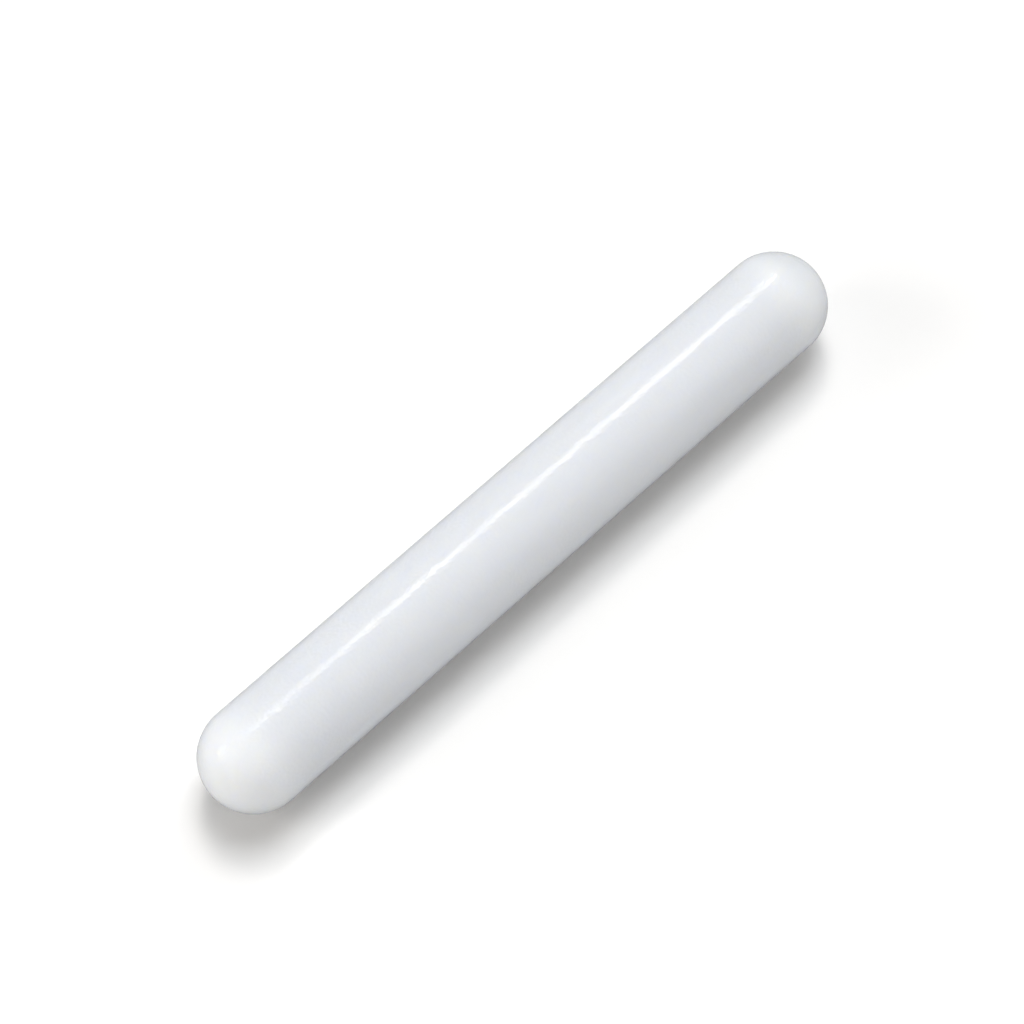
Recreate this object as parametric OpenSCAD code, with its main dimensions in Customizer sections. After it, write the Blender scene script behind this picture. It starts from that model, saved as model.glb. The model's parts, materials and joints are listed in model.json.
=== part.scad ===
// Magnetic stir bar: a rod magnet sealed inside a seamless white jacket of moulded PTFE.
// The bar lies along X with its centre at the origin, and +Z is up.
// All sizes are in millimetres.

/* [Bar] */
// Overall length of the bar, over both round ends
bar_length = 60; // [40:1:80]
// Diameter of the bar
bar_d = 8; // [6:0.5:12]

/* [Jacket] */
// Thickness of the jacket around the side of the magnet
side_wall = 1.5; // [0.8:0.1:2.5]
// Thickness of the jacket on the axis, from the magnet's end face to the tip
end_wall = 5; // [4:0.5:10]

/* [Magnet] */
// Gap left on every side between the magnet and the jacket that is shrunk over it
shrink_gap = 0.02; // [0:0.01:0.1]
// Width of the 45 degree chamfer around each end face of the magnet
magnet_chamfer = 0.4; // [0.1:0.1:0.8]

/* [Hidden] */
$fn = 96;

// The closed cavity that the jacket is moulded with, and the magnet that fills it
cavity_d = bar_d - 2 * side_wall;
cavity_length = bar_length - 2 * end_wall;
magnet_d = cavity_d - 2 * shrink_gap;
magnet_length = cavity_length - 2 * shrink_gap;

// Half section of a rod with full round ends, on the right of its own axis, which is Y
module round_end_section(length, diameter) {
    straight = length - diameter;
    intersection() {
        union() {
            square([diameter, straight], center = true);
            for (side = [-1, 1])
                translate([0, side * straight / 2])
                    circle(d = diameter);
        }
        translate([0, -length / 2])
            square([diameter / 2, length]);
    }
}

// Half section of a rod with flat ends and chamfered edges, on the right of its own axis, which is Y
module chamfered_section(length, diameter, chamfer) {
    rim = diameter / 2;
    tip = length / 2;
    polygon([
        [0, -tip],
        [rim - chamfer, -tip],
        [rim, -tip + chamfer],
        [rim, tip - chamfer],
        [rim - chamfer, tip],
        [0, tip]
    ]);
}

// Turns a half section into a solid that lies along X
module turned() {
    rotate([0, 90, 0])
        rotate_extrude()
            children();
}

// The white skin: one seamless moulding, closed all round, with the magnet's seat inside it
module jacket() {
    color("white")
        difference() {
            turned() round_end_section(bar_length, bar_d);
            turned() chamfered_section(cavity_length, cavity_d, magnet_chamfer);
        }
}

// The core: a ground rod of cast magnet alloy with a pole at each end
module rod_magnet() {
    color("dimgray")
        turned() chamfered_section(magnet_length, magnet_d, magnet_chamfer);
}

jacket();
rod_magnet();
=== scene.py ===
import json
import math

import bmesh
import bpy
from mathutils import Matrix, Vector

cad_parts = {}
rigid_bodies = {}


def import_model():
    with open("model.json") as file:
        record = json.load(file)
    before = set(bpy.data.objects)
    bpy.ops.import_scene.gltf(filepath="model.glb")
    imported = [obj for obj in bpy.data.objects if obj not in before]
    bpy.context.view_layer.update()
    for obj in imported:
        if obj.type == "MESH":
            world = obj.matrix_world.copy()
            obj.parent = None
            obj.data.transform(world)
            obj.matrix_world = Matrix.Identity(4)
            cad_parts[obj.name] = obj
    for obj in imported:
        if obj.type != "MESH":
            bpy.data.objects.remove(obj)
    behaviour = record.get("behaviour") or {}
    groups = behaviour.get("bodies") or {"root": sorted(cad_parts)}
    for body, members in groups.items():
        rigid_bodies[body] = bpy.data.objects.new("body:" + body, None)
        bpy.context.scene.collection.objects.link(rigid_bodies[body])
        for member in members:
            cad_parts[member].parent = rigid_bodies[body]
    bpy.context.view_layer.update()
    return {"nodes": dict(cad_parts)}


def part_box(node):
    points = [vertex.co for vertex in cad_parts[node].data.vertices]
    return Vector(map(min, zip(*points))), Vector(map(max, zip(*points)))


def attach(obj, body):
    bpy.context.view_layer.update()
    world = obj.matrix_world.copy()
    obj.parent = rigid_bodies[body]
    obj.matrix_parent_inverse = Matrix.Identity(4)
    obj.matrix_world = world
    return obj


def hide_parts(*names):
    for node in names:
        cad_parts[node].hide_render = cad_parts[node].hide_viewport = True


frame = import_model()


# Rod magnet: the core that a stirrer's drive turns, a rod of cast aluminium-nickel-cobalt alloy.
# It is cast, ground round to its diameter and chamfered at both ends. The jacket is shrunk tight around it
# and closed all round, so it shows only when the jacket is taken off.
magnet_low, magnet_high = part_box("rod_magnet")
magnet_grey = (0.27, 0.27, 0.28, 1)
magnet_dark_grey = (0.19, 0.19, 0.20, 1)
grinding_line_pitch = 0.00012
grinding_line_length = 1 / 60
casting_pore_size = 0.0006
pore_floor = 0.05
pore_rim = 0.16
ground_smoothest = 0.42
ground_roughest = 0.68
ground_depth = 0.00001

ground_alloy = bpy.data.materials.new("ground_alloy")
ground_alloy.use_nodes = True
nodes = ground_alloy.node_tree.nodes
links = ground_alloy.node_tree.links
shader = nodes["Principled BSDF"]
shader.inputs["Metallic"].default_value = 1.0
place = nodes.new("ShaderNodeTexCoord")

# A grinding wheel leaves lines that run round the rod, so the pattern is stretched across its length.
line_stretch = nodes.new("ShaderNodeMapping")
line_scale = (1 / grinding_line_pitch, 1 / grinding_line_length, 1 / grinding_line_length)
line_stretch.inputs["Scale"].default_value = line_scale
links.new(place.outputs["Object"], line_stretch.inputs["Vector"])
grinding_lines = nodes.new("ShaderNodeTexNoise")
grinding_lines.inputs["Scale"].default_value = 1.0
grinding_lines.inputs["Detail"].default_value = 3.0
links.new(line_stretch.outputs["Vector"], grinding_lines.inputs["Vector"])

# The casting is a little porous, and each pore is darker and lies lower than the ground face around it.
pores = nodes.new("ShaderNodeTexVoronoi")
pores.inputs["Scale"].default_value = 1 / casting_pore_size
links.new(place.outputs["Object"], pores.inputs["Vector"])
pore_depth = nodes.new("ShaderNodeMapRange")
pore_depth.inputs["From Min"].default_value = pore_floor
pore_depth.inputs["From Max"].default_value = pore_rim
links.new(pores.outputs["Distance"], pore_depth.inputs["Value"])

grey_mix = nodes.new("ShaderNodeMix")
grey_mix.data_type = "RGBA"
grey_mix.inputs["A"].default_value = magnet_dark_grey
grey_mix.inputs["B"].default_value = magnet_grey
links.new(pore_depth.outputs["Result"], grey_mix.inputs["Factor"])
links.new(grey_mix.outputs["Result"], shader.inputs["Base Color"])

ground_roughness = nodes.new("ShaderNodeMapRange")
ground_roughness.inputs["To Min"].default_value = ground_smoothest
ground_roughness.inputs["To Max"].default_value = ground_roughest
links.new(grinding_lines.outputs["Fac"], ground_roughness.inputs["Value"])
links.new(ground_roughness.outputs["Result"], shader.inputs["Roughness"])

ground_height = nodes.new("ShaderNodeMath")
ground_height.operation = "MULTIPLY"
links.new(grinding_lines.outputs["Fac"], ground_height.inputs[0])
links.new(pore_depth.outputs["Result"], ground_height.inputs[1])
ground_bump = nodes.new("ShaderNodeBump")
ground_bump.inputs["Distance"].default_value = ground_depth
links.new(ground_height.outputs["Value"], ground_bump.inputs["Height"])
links.new(ground_bump.outputs["Normal"], shader.inputs["Normal"])

magnet = frame["nodes"]["rod_magnet"]
magnet.data.materials.clear()
magnet.data.materials.append(ground_alloy)


# Jacket: the white skin, one seamless moulding of PTFE with full round ends and no joint or plug.
# It is moulded and sintered around the magnet, which leaves a closed seat inside with a hair of room.
# The skin comes out smooth and waxy, with a fine grain that frays the edges of a highlight.
jacket_low, jacket_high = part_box("jacket")
bar_d = 2 * abs(jacket_low.z)
bar_length = jacket_high.x - jacket_low.x
barrel_length = bar_length - bar_d
shrink_gap = 0.00002
seat_length = magnet_high.x - magnet_low.x + 2 * shrink_gap
seat_d = magnet_high.z - magnet_low.z + 2 * shrink_gap
seat_chamfer = 0.0004
ball_subdivisions = 5
barrel_rings = 52
seat_sides = 96
crease_angle = math.radians(30)

# A cube smoothed into a ball of even four-sided faces, with no pole at either tip
bpy.ops.object.select_all(action="DESELECT")
bpy.ops.mesh.primitive_cube_add(size=bar_d)
jacket = bpy.context.object
jacket.name = "jacket_skin"
jacket.data.name = "jacket_skin"
smoothing = jacket.modifiers.new("smoothing", "SUBSURF")
smoothing.levels = ball_subdivisions
smoothing.render_levels = ball_subdivisions
bpy.ops.object.modifier_apply(modifier="smoothing")
rounding = jacket.modifiers.new("rounding", "CAST")
rounding.cast_type = "SPHERE"
rounding.factor = 1.0
rounding.use_radius_as_size = False
rounding.size = bar_d / 2
bpy.ops.object.modifier_apply(modifier="rounding")

# One half of the ball is drawn out along X, which leaves the straight barrel between two round ends
bpy.ops.object.mode_set(mode="EDIT")
bpy.ops.mesh.select_mode(type="FACE")
bpy.ops.mesh.select_all(action="DESELECT")
skin = bmesh.from_edit_mesh(jacket.data)
for face in skin.faces:
    face.select_set(face.calc_center_median().x > 0)
bpy.ops.mesh.extrude_region_move(TRANSFORM_OT_translate={"value": (barrel_length, 0, 0)})
bpy.ops.mesh.select_all(action="SELECT")
bpy.ops.transform.translate(value=(-barrel_length / 2, 0, 0))

# The long faces of the barrel are cut into rings
bpy.ops.mesh.select_mode(type="EDGE")
bpy.ops.mesh.select_all(action="DESELECT")
skin = bmesh.from_edit_mesh(jacket.data)
for edge in skin.edges:
    edge.select_set(edge.calc_length() > barrel_length / 2)
bpy.ops.mesh.subdivide(number_cuts=barrel_rings - 1)
bpy.ops.mesh.select_all(action="SELECT")
bpy.ops.mesh.normals_make_consistent(inside=False)

# The seat: a chamfered rod of empty space, whose faces point into it and so out of the moulding
bpy.ops.mesh.select_all(action="DESELECT")
bpy.ops.mesh.primitive_cylinder_add(
    vertices=seat_sides, radius=seat_d / 2, depth=seat_length, rotation=(0, math.pi / 2, 0)
)
bpy.ops.mesh.select_all(action="DESELECT")
skin = bmesh.from_edit_mesh(jacket.data)
for edge in skin.edges:
    middle = (edge.verts[0].co + edge.verts[1].co) / 2
    inside_skin = middle.yz.length < (seat_d + bar_d) / 4
    at_seat_end = abs(abs(middle.x) - seat_length / 2) < shrink_gap
    if inside_skin and at_seat_end:
        edge.select_set(True)
bpy.ops.mesh.bevel(offset=seat_chamfer, segments=1, affect="EDGES")
bpy.ops.mesh.select_linked()
bpy.ops.mesh.flip_normals()
bpy.ops.object.mode_set(mode="OBJECT")
bpy.ops.object.shade_smooth_by_angle(angle=crease_angle)

# The light sinks into the PTFE, so the dark magnet greys the barrel and the solid ends stay whiter. A thin
# tinted coat stands for the longer way that light takes through the skin where the bar turns away.
ptfe_ior = 1.35
ptfe_white = (0.886, 0.896, 0.908, 1)
ptfe_bright_white = (0.896, 0.906, 0.918, 1)
# The next colour is painted shade: a greyer white for the +X tip, in place of the shade where it turns away
# from the lamps.
painted_shade_white = (0.77, 0.781, 0.795, 1)
scatter_depth = 0.0030
scatter_by_colour = (1.0, 0.93, 0.78)
coat_weight = 0.49
coat_ior = 1.02
coat_roughness = 0.3
coat_tint = (0.592, 0.62, 0.66, 1)
cloud_size = 0.006
grain_length = 0.00026
grain_width = 0.00023
grain_height = 0.000015
grain_low = 0.3
grain_high = 0.7
skin_smoothest = 0.06
skin_roughest = 0.20
swell_size = 0.010
swell_height = 0.00004

moulded_ptfe = bpy.data.materials.new("moulded_ptfe")
moulded_ptfe.use_nodes = True
nodes = moulded_ptfe.node_tree.nodes
links = moulded_ptfe.node_tree.links
shader = nodes["Principled BSDF"]
shader.inputs["IOR"].default_value = ptfe_ior
shader.inputs["Subsurface Weight"].default_value = 1.0
shader.inputs["Subsurface Radius"].default_value = scatter_by_colour
shader.inputs["Subsurface Scale"].default_value = scatter_depth
shader.inputs["Coat Weight"].default_value = coat_weight
shader.inputs["Coat IOR"].default_value = coat_ior
shader.inputs["Coat Roughness"].default_value = coat_roughness
shader.inputs["Coat Tint"].default_value = coat_tint
place = nodes.new("ShaderNodeTexCoord")

# The white is faintly cloudy, as sintered powder is.
cloudiness = nodes.new("ShaderNodeTexNoise")
cloudiness.inputs["Scale"].default_value = 1 / cloud_size
cloudiness.inputs["Detail"].default_value = 2.0
links.new(place.outputs["Object"], cloudiness.inputs["Vector"])
white_mix = nodes.new("ShaderNodeMix")
white_mix.data_type = "RGBA"
white_mix.inputs["A"].default_value = ptfe_white
white_mix.inputs["B"].default_value = ptfe_bright_white
links.new(cloudiness.outputs["Fac"], white_mix.inputs["Factor"])

# Painted shade: the tip at +X is painted greyer than the rest, to stand in for the shade on the end that
# turns away from the lamps.
along = nodes.new("ShaderNodeSeparateXYZ")
links.new(place.outputs["Object"], along.inputs["Vector"])
painted_shade_ramp = nodes.new("ShaderNodeMapRange")
painted_shade_ramp.interpolation_type = "SMOOTHSTEP"
painted_shade_ramp.inputs["From Min"].default_value = barrel_length / 2 - bar_d / 8
painted_shade_ramp.inputs["From Max"].default_value = bar_length / 2 - bar_d / 8
links.new(along.outputs["X"], painted_shade_ramp.inputs["Value"])
painted_shade_mix = nodes.new("ShaderNodeMix")
painted_shade_mix.data_type = "RGBA"
painted_shade_mix.inputs["B"].default_value = painted_shade_white
links.new(white_mix.outputs["Result"], painted_shade_mix.inputs["A"])
links.new(painted_shade_ramp.outputs["Result"], painted_shade_mix.inputs["Factor"])
links.new(painted_shade_mix.outputs["Result"], shader.inputs["Base Color"])

# The grain of the pressed powder is a quarter of a millimetre across, slightly longer along the bar.
# Some grains come out glossier than others, which frays the edges of the highlight.
grain_stretch = nodes.new("ShaderNodeMapping")
grain_stretch.inputs["Scale"].default_value = (1 / grain_length, 1 / grain_width, 1 / grain_width)
links.new(place.outputs["Object"], grain_stretch.inputs["Vector"])
grain = nodes.new("ShaderNodeTexNoise")
grain.inputs["Scale"].default_value = 1.0
grain.inputs["Detail"].default_value = 0.0
links.new(grain_stretch.outputs["Vector"], grain.inputs["Vector"])
skin_roughness = nodes.new("ShaderNodeMapRange")
skin_roughness.inputs["From Min"].default_value = grain_low
skin_roughness.inputs["From Max"].default_value = grain_high
skin_roughness.inputs["To Min"].default_value = skin_smoothest
skin_roughness.inputs["To Max"].default_value = skin_roughest
links.new(grain.outputs["Fac"], skin_roughness.inputs["Value"])
links.new(skin_roughness.outputs["Result"], shader.inputs["Roughness"])

# The sintered skin isn't perfectly straight: it swells by some hundredths of a millimetre along the bar.
swell = nodes.new("ShaderNodeTexNoise")
swell.inputs["Scale"].default_value = 1 / swell_size
swell.inputs["Detail"].default_value = 0.0
links.new(place.outputs["Object"], swell.inputs["Vector"])
swell_bump = nodes.new("ShaderNodeBump")
swell_bump.inputs["Distance"].default_value = swell_height
links.new(swell.outputs["Fac"], swell_bump.inputs["Height"])
grain_bump = nodes.new("ShaderNodeBump")
grain_bump.inputs["Distance"].default_value = grain_height
links.new(grain.outputs["Fac"], grain_bump.inputs["Height"])
links.new(swell_bump.outputs["Normal"], grain_bump.inputs["Normal"])
links.new(grain_bump.outputs["Normal"], shader.inputs["Normal"])

jacket.data.materials.append(moulded_ptfe)
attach(jacket, "root")
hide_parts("jacket")


# Floor: a plain sheet of white paper that the bar lies on, much wider than the bar.
floor_size = 8.0
paper_white = (0.82, 0.82, 0.82, 1)

bpy.ops.object.select_all(action="DESELECT")
bpy.ops.mesh.primitive_plane_add(size=floor_size, location=(0, 0, -bar_d / 2))
floor = bpy.context.object
floor.name = "floor"
white_paper = bpy.data.materials.new("white_paper")
white_paper.use_nodes = True
shader = white_paper.node_tree.nodes["Principled BSDF"]
shader.inputs["Base Color"].default_value = paper_white
shader.inputs["Roughness"].default_value = 1.0
shader.inputs["Specular IOR Level"].default_value = 0.0
floor.data.materials.append(white_paper)


# Camera: a long lens that looks down on the bar from the side of its -X end.
camera_azimuth = math.radians(-44.2)
camera_elevation = math.radians(63.0)
camera_distance = 0.2975
camera_aim = Vector((0.00028, 0.00121, 0))
lens_length = 145.6
nearest_shown = 0.01


def from_bearing(azimuth, elevation):
    """The direction from the bar to a place at that bearing: azimuth 0 is -Y and 90 degrees is +X."""
    level = math.cos(elevation)
    return Vector((level * math.sin(azimuth), -level * math.cos(azimuth), math.sin(elevation)))


camera_data = bpy.data.cameras.new("camera")
camera_data.lens = lens_length
camera_data.clip_start = nearest_shown
camera = bpy.data.objects.new("camera", camera_data)
bpy.context.scene.collection.objects.link(camera)
camera.location = camera_aim + camera_distance * from_bearing(camera_azimuth, camera_elevation)
camera.rotation_euler = (math.pi / 2 - camera_elevation, 0, camera_azimuth)
bpy.context.scene.camera = camera


# Light: a soft box, soft lamps behind and over the bar, and low white cards around the floor. The box and
# the glow lamp alone are reflected in the skin: as the streak along the top and the glow on the near end.
lamp_colour = (0.98, 1.0, 1.02)
box_colour = (1.06, 1.0, 0.92)
card_colour = (1.035, 1.0, 0.955)
card_elevation = 14
card_spread = 46
soft_box_distance = 3.0
soft_box_spread = (14.6, 10.8)
backdrop_strength = 0.95
surround_strength = 0.01
backdrop_white = (1, 1, 1, 1)


def add_lamp(lamp_data, colour, reflected):
    """Links a lamp to the scene, in that colour, reflected in what is glossy or not."""
    lamp_data.color = colour
    lamp = bpy.data.objects.new(lamp_data.name, lamp_data)
    lamp.visible_glossy = reflected
    bpy.context.scene.collection.objects.link(lamp)
    return lamp


def toward_lamp(turn, elevation):
    """The direction from the bar to a lamp, turned round from the camera and raised, in degrees."""
    return from_bearing(camera_azimuth + math.radians(turn), math.radians(elevation))


def light_on_bar(elevation, floor_share):
    """How much light, square to a lamp, gives the floor that share of what shows the paper as full white."""
    return floor_share * math.pi / (paper_white[1] * math.sin(math.radians(elevation)))


def soft_lamp(name, turn, elevation, spread, floor_share, colour, reflected=False):
    """A lamp far away, seen from the bar as a disc that is spread wide."""
    lamp_data = bpy.data.lights.new(name, "SUN")
    lamp_data.energy = light_on_bar(elevation, floor_share)
    lamp_data.angle = math.radians(spread)
    lamp = add_lamp(lamp_data, colour, reflected)
    lamp.rotation_euler = toward_lamp(turn, elevation).to_track_quat("Z", "Y").to_euler()


def low_card(name, turn, floor_share):
    """A white card that stands low beside the floor and isn't reflected in the skin."""
    soft_lamp(name, turn, card_elevation, card_spread, floor_share, card_colour)


def soft_box(name, turn, elevation, spread, floor_share, colour):
    """A lamp with two sides along the bar, so that its reflection starts and ends sharply.

    Its spread, as seen from the bar, is the angle along the bar and the angle across it."""
    lamp_data = bpy.data.lights.new(name, "AREA")
    lamp_data.shape = "RECTANGLE"
    lamp_data.size = 2 * soft_box_distance * math.tan(math.radians(spread[0]) / 2)
    lamp_data.size_y = 2 * soft_box_distance * math.tan(math.radians(spread[1]) / 2)
    lamp_data.energy = light_on_bar(elevation, floor_share) * math.pi * soft_box_distance ** 2
    lamp = add_lamp(lamp_data, colour, True)
    toward = toward_lamp(turn, elevation)
    across = toward.cross(Vector((1, 0, 0))).normalized()
    along = across.cross(toward)
    lamp.matrix_world = Matrix((along, across, toward)).transposed().to_4x4()
    lamp.location = soft_box_distance * toward


soft_box(
    "streak_box", turn=184, elevation=57, spread=soft_box_spread, floor_share=0.125, colour=box_colour
)
soft_lamp(
    "glow_lamp", turn=-85, elevation=26, spread=22, floor_share=0.052, colour=card_colour, reflected=True
)
soft_lamp("back_lamp", turn=172, elevation=66, spread=30, floor_share=0.155, colour=lamp_colour)
soft_lamp("low_back_lamp", turn=165, elevation=45, spread=40, floor_share=0.08, colour=lamp_colour)
soft_lamp("back_right_lamp", turn=145, elevation=60, spread=36, floor_share=0.13, colour=lamp_colour)
soft_lamp("overhead_lamp", turn=178, elevation=72, spread=36, floor_share=0.165, colour=lamp_colour)
soft_lamp("overhead_left_lamp", turn=-120, elevation=74, spread=50, floor_share=0.06, colour=lamp_colour)
low_card("left_card", turn=-80, floor_share=0.075)
low_card("front_left_card", turn=-45, floor_share=0.06)
low_card("front_card", turn=5, floor_share=0.03)
low_card("right_card", turn=80, floor_share=0.07)
low_card("back_right_card", turn=140, floor_share=0.045)

# The surround lights the bar only faintly, but stands as a pale backdrop where the floor ends.
surround = bpy.data.worlds.new("surround")
surround.use_nodes = True
nodes = surround.node_tree.nodes
links = surround.node_tree.links
ray = nodes.new("ShaderNodeLightPath")
surround_mix = nodes.new("ShaderNodeMapRange")
surround_mix.inputs["To Min"].default_value = surround_strength
surround_mix.inputs["To Max"].default_value = backdrop_strength
links.new(ray.outputs["Is Camera Ray"], surround_mix.inputs["Value"])
nodes["Background"].inputs["Color"].default_value = backdrop_white
links.new(surround_mix.outputs["Result"], nodes["Background"].inputs["Strength"])
bpy.context.scene.world = surround
bpy.context.scene.view_settings.view_transform = "Standard"
